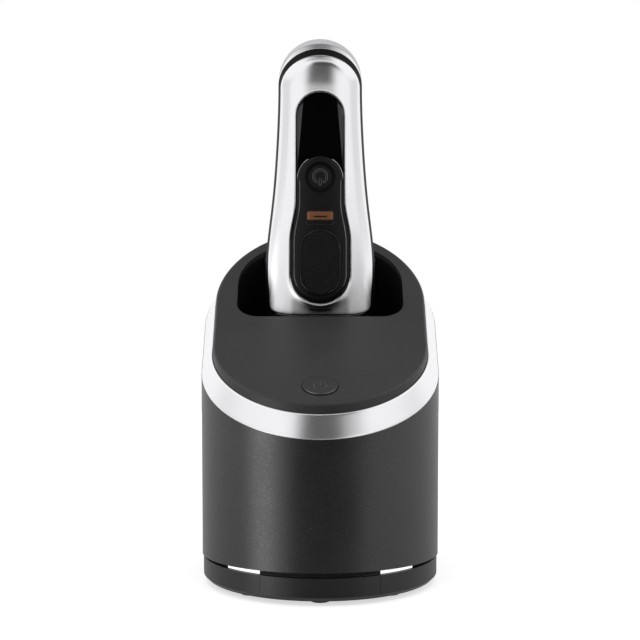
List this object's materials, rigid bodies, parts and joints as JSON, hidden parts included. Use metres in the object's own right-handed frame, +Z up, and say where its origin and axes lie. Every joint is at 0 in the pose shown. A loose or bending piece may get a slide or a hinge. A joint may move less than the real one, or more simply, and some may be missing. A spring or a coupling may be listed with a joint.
{
  "type": "shaver cleaning station",
  "caption": "Cleaning and charging station with a foil shaver docked head down: round-ended sloping housing with a silver trim ring, which lifts off a fluid cartridge in its base.",
  "frame": {"origin": "middle of the footprint on the surface that the station stands on", "axes": "+Z up, +X to the right seen from the front, +Y to the back; the front with the start button faces -Y"},
  "size_m": [0.118, 0.158, 0.2688],
  "materials": {
    "base_grey": "fine satin",
    "foot_rubber": "matt",
    "steel": "turned and ground",
    "spring_steel": "drawn wire",
    "tank_plastic": "clear tinted moulding",
    "lid_plastic": "moulded",
    "filter_felt": "felt",
    "housing_grey": "satin with a fine metal flake",
    "ring_silver": "satin silver coat",
    "cover_grey": "fine satin",
    "inner_black": "moulded",
    "window_white": "milky",
    "bush_plastic": "low friction moulding",
    "dock_black": "fine satin",
    "dish_black": "polished",
    "dock_gloss": "polished",
    "pin_brass": "plated",
    "pump_plastic": "moulded",
    "tube_rubber": "soft",
    "fan_black": "moulded",
    "board_green": "lacquered board",
    "part_black": "moulded",
    "lift_button_grey": "fine satin",
    "latch_plastic": "moulded",
    "inlet_black": "moulded",
    "shaver_silver": "satin silver coat",
    "shaver_black": "polished",
    "shaver_grey": "bright silver coat",
    "shaver_back": "satin",
    "panel_black": "polished",
    "display_black": "polished",
    "strip_black": "satin",
    "key_black": "fine satin",
    "grip_black": "ribbed",
    "button_silver": "satin silver coat",
    "slider_copper": "copper coat",
    "neck_black": "moulded",
    "cell_metal": "sleeved cell",
    "head_silver": "satin silver coat",
    "cassette_black": "moulded",
    "foil_steel": "perforated foil",
    "trimmer_black": "moulded"
  },
  "bodies": {
    "base": {"base_tray": "base_grey", "base_front_plate": "base_grey", "rubber_feet": "foot_rubber", "guide_columns": "steel", "lift_springs": "spring_steel", "cartridge_tank": "tank_plastic", "cartridge_lid": "lid_plastic", "cartridge_filter": "filter_felt"},
    "housing": {"housing_shell": "housing_grey", "ring_trim": "ring_silver", "top_cover": "cover_grey", "inner_frame": "inner_black", "light_windows": "window_white", "chassis_deck": "inner_black", "guide_bushes": "bush_plastic", "chassis_screws": "spring_steel", "dock_liner": "dock_black", "cleaning_dish": "dish_black", "dock_backrest": "dock_gloss", "charge_pins": "pin_brass", "pump_housing": "pump_plastic", "pump_motor": "steel", "suction_tube": "tube_rubber", "supply_tube": "tube_rubber", "fan_case": "fan_black", "main_board": "board_green", "board_parts": "part_black", "start_board": "board_green", "power_inlet": "inlet_black", "inlet_pins": "pin_brass"},
    "pump_rotor": {"pump_rotor": "pump_plastic"},
    "fan_rotor": {"fan_rotor": "fan_black"},
    "start_button": {"start_button": "cover_grey"},
    "lift_latch": {"lift_button": "lift_button_grey", "latch_hook": "latch_plastic"},
    "shaver": {"shaver_front_shell": "shaver_silver", "shaver_side_band": "shaver_black", "shaver_middle_frame": "shaver_grey", "shaver_back_cover": "shaver_back", "shaver_contacts": "pin_brass", "front_panel": "panel_black", "display_window": "display_black", "control_strip": "strip_black", "thumb_grip": "grip_black", "shaver_neck": "neck_black", "shaver_motor": "steel", "shaver_battery": "cell_metal", "shaver_board": "board_green"},
    "power_button": {"power_button": "key_black"},
    "lock_slider": {"lock_slider": "slider_copper"},
    "shaver_head": {"head_frame": "head_silver"},
    "foils": {"foil_cassette": "cassette_black", "shaving_foils": "foil_steel", "centre_trimmers": "steel"},
    "cutters": {"cutter_blocks": "steel"},
    "release_left": {"release_button_left": "button_silver"},
    "release_right": {"release_button_right": "button_silver"},
    "trimmer": {"long_hair_trimmer": "trimmer_black"}
  },
  "joints": [
    {"name": "housing_lift", "type": "slide", "parent": "base", "child": "housing", "axis": [0, 0, 1], "range_m": [0, 0.045], "deforming": ["lift_springs"]},
    {"name": "lift_button_press", "type": "slide", "parent": "housing", "child": "lift_latch", "axis": [0, -1, 0], "range_m": [0, 0.002], "stiffness_N_per_m": 600, "springref_m": -0.0005},
    {"name": "start_button_press", "type": "slide", "parent": "housing", "child": "start_button", "axis": [0, 0.3778, -0.9259], "range_m": [0, 0.0008], "stiffness_N_per_m": 900, "springref_m": -0.0004},
    {"name": "pump_spin", "type": "hinge", "parent": "housing", "child": "pump_rotor", "pos_m": [-0.02, -0.026, 0.055], "axis": [0, 0, 1], "continuous": true},
    {"name": "fan_spin", "type": "hinge", "parent": "housing", "child": "fan_rotor", "pos_m": [0.02, -0.026, 0.055], "axis": [0, 0, 1], "continuous": true},
    {"name": "shaver_lift_out", "type": "slide", "parent": "housing", "child": "shaver", "axis": [0, 0.1219, 0.9925], "range_m": [0, 0.08]},
    {"name": "power_button_press", "type": "slide", "parent": "shaver", "child": "power_button", "axis": [0, 0.9925, -0.1219], "range_m": [0, 0.0008], "stiffness_N_per_m": 700, "springref_m": -0.0004},
    {"name": "head_lock_slide", "type": "slide", "parent": "shaver", "child": "lock_slider", "axis": [0, -0.1219, -0.9925], "range_m": [0, 0.002]},
    {"name": "head_tilt", "type": "hinge", "parent": "shaver", "child": "shaver_head", "pos_m": [0, 0.02977, 0.11739], "axis": [1, 0, 0], "range_deg": [-15, 15], "stiffness_Nm_per_rad": 0.08},
    {"name": "foil_float", "type": "slide", "parent": "shaver_head", "child": "foils", "axis": [0, 0.1219, 0.9925], "range_m": [0, 0.0015], "stiffness_N_per_m": 500, "springref_m": -0.0004},
    {"name": "cutter_drive", "type": "slide", "parent": "foils", "child": "cutters", "axis": [1, 0, 0], "range_m": [-0.001, 0.001], "stiffness_N_per_m": 900},
    {"name": "release_left_press", "type": "slide", "parent": "shaver_head", "child": "release_left", "axis": [1, 0, 0], "range_m": [0, 0.001], "stiffness_N_per_m": 500, "springref_m": -0.0003},
    {"name": "release_right_press", "type": "slide", "parent": "shaver_head", "child": "release_right", "axis": [-1, 0, 0], "range_m": [0, 0.001], "stiffness_N_per_m": 500, "springref_m": -0.0003},
    {"name": "trimmer_slide", "type": "slide", "parent": "shaver", "child": "trimmer", "axis": [0, -0.1219, -0.9925], "range_m": [0, 0.012]}
  ]
}
